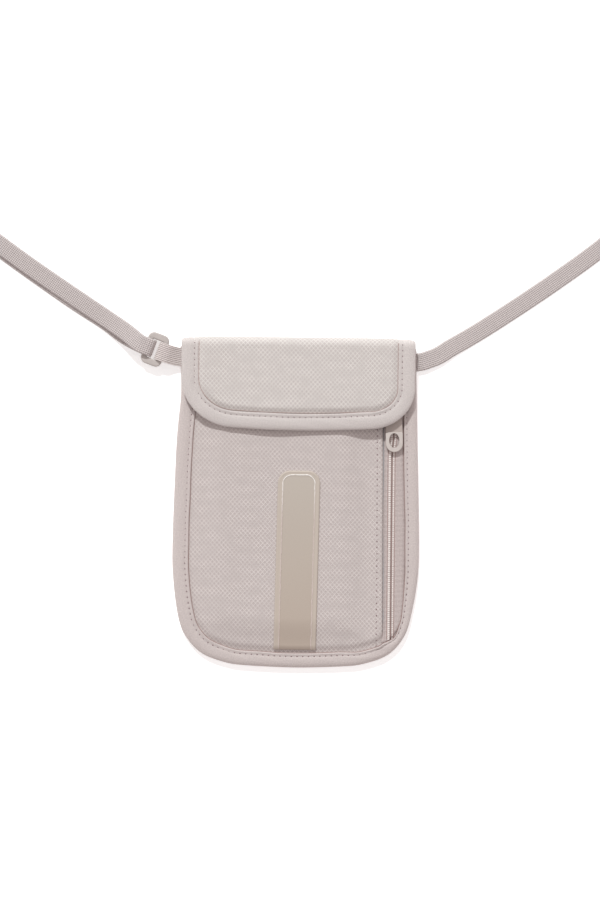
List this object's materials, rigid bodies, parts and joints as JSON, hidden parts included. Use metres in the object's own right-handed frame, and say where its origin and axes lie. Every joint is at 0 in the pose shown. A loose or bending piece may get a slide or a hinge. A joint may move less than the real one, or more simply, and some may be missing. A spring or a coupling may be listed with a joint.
{
  "type": "neck pouch wallet",
  "caption": "Flat fabric neck pouch with bound edges, zipped front pocket, fold-over flap with touch fastener, and an adjustable webbing neck strap on a ring.",
  "frame": {"origin": "under the middle of the pouch, on the surface that its back lies on, without the neck strap", "axes": "+Z out of the pouch's front, +Y towards the fold of the flap, +X across the pouch towards the zip"},
  "size_m": [0.4141, 0.3991, 0.0105],
  "materials": {
    "panel_fabric": "pale pinkish grey dobby weave, matt",
    "binding_fabric": "pale pinkish grey twill tape, matt",
    "lining_fabric": "smooth grey lining",
    "touch_tape": "hook and loop tape",
    "label_patch": "satin beige rubbery patch",
    "zip_tape": "ribbed zip tape",
    "zip_coil": "moulded coil",
    "slider_metal": "painted to match the tape",
    "pull_tab": "satin moulded plastic",
    "webbing": "plain woven webbing",
    "ring_plastic": "satin moulded plastic"
  },
  "bodies": {
    "pouch_body": {"rear_panel": "panel_fabric", "rear_lining": "lining_fabric", "zip_pocket_lining": "lining_fabric", "front_panel": "panel_fabric", "mouth_hem": "binding_fabric", "loop_strip": "touch_tape", "label_patch": "label_patch", "body_binding": "binding_fabric", "zip_tape_left": "zip_tape", "zip_tape_right": "zip_tape", "zip_coil_left": "zip_coil", "zip_coil_right": "zip_coil", "zip_top_stop": "zip_coil", "zip_bottom_stop": "zip_coil", "flap_fold": "panel_fabric", "strap_tab": "webbing", "neck_strap": "webbing", "strap_adjuster": "ring_plastic"},
    "flap": {"flap_panel": "panel_fabric", "flap_lining": "lining_fabric", "hook_strip": "touch_tape", "flap_binding": "binding_fabric"},
    "slider": {"zip_slider": "slider_metal"},
    "pull_tab": {"zip_pull_tab": "pull_tab"},
    "ring": {"strap_ring": "ring_plastic"}
  },
  "joints": [
    {"name": "flap_hinge", "type": "hinge", "parent": "pouch_body", "child": "flap", "pos_m": [0, 0.0927, 0.0053], "axis": [-1, 0, 0], "range_deg": [0, 175], "deforming": ["flap_fold"]},
    {"name": "zip_slide", "type": "slide", "parent": "pouch_body", "child": "slider", "axis": [0, 1, 0], "range_m": [-0.1, 0]},
    {"name": "pull_tab_hinge", "type": "hinge", "parent": "slider", "child": "pull_tab", "pos_m": [0.0535, 0.0504, 0.0055], "axis": [-1, 0, 0], "range_deg": [0, 10]},
    {"name": "ring_hinge", "type": "hinge", "parent": "pouch_body", "child": "ring", "pos_m": [-0.07608, 0.08344, 0.0035], "axis": [0.3469, 0.9379, 0], "range_deg": [-5, 5]}
  ]
}
